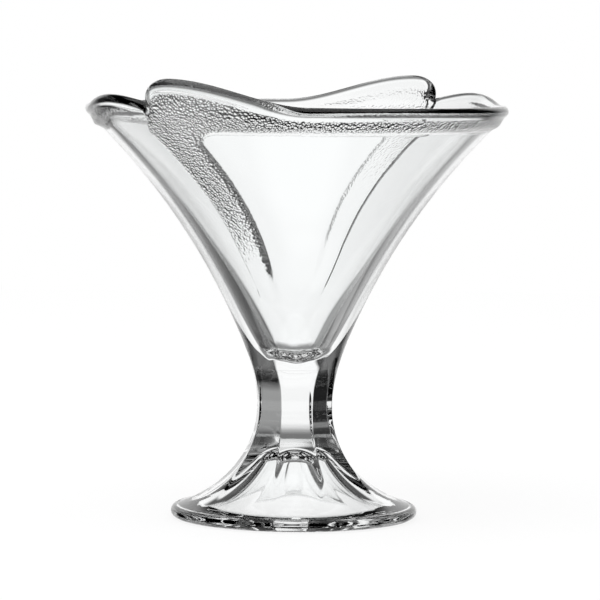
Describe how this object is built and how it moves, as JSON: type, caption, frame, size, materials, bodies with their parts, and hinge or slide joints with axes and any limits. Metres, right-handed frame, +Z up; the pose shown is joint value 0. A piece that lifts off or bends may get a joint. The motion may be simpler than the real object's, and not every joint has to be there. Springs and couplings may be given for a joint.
{
  "type": "parfait glass",
  "caption": "Footed dessert glass in clear pressed glass: a flared bowl of petals that wrap round each other with stippled borders, on a waisted faceted stem and a round hollow foot.",
  "frame": {"origin": "middle of the foot's standing plane", "axes": "+Z up along the axis of the glass, -Y towards the front facet of the stem, with the front petal's free edge to the left of it, +X to the right"},
  "size_m": [0.1204, 0.1218, 0.1259],
  "materials": {
    "bowl_glass": "clear fire-polished soda-lime glass, stippled on the borders of the petals",
    "stem_glass": "clear fire-polished soda-lime glass",
    "foot_glass": "clear fire-polished soda-lime glass"
  },
  "bodies": {
    "root": {"bowl": "bowl_glass", "stem": "stem_glass", "foot": "foot_glass"}
  },
  "joints": []
}
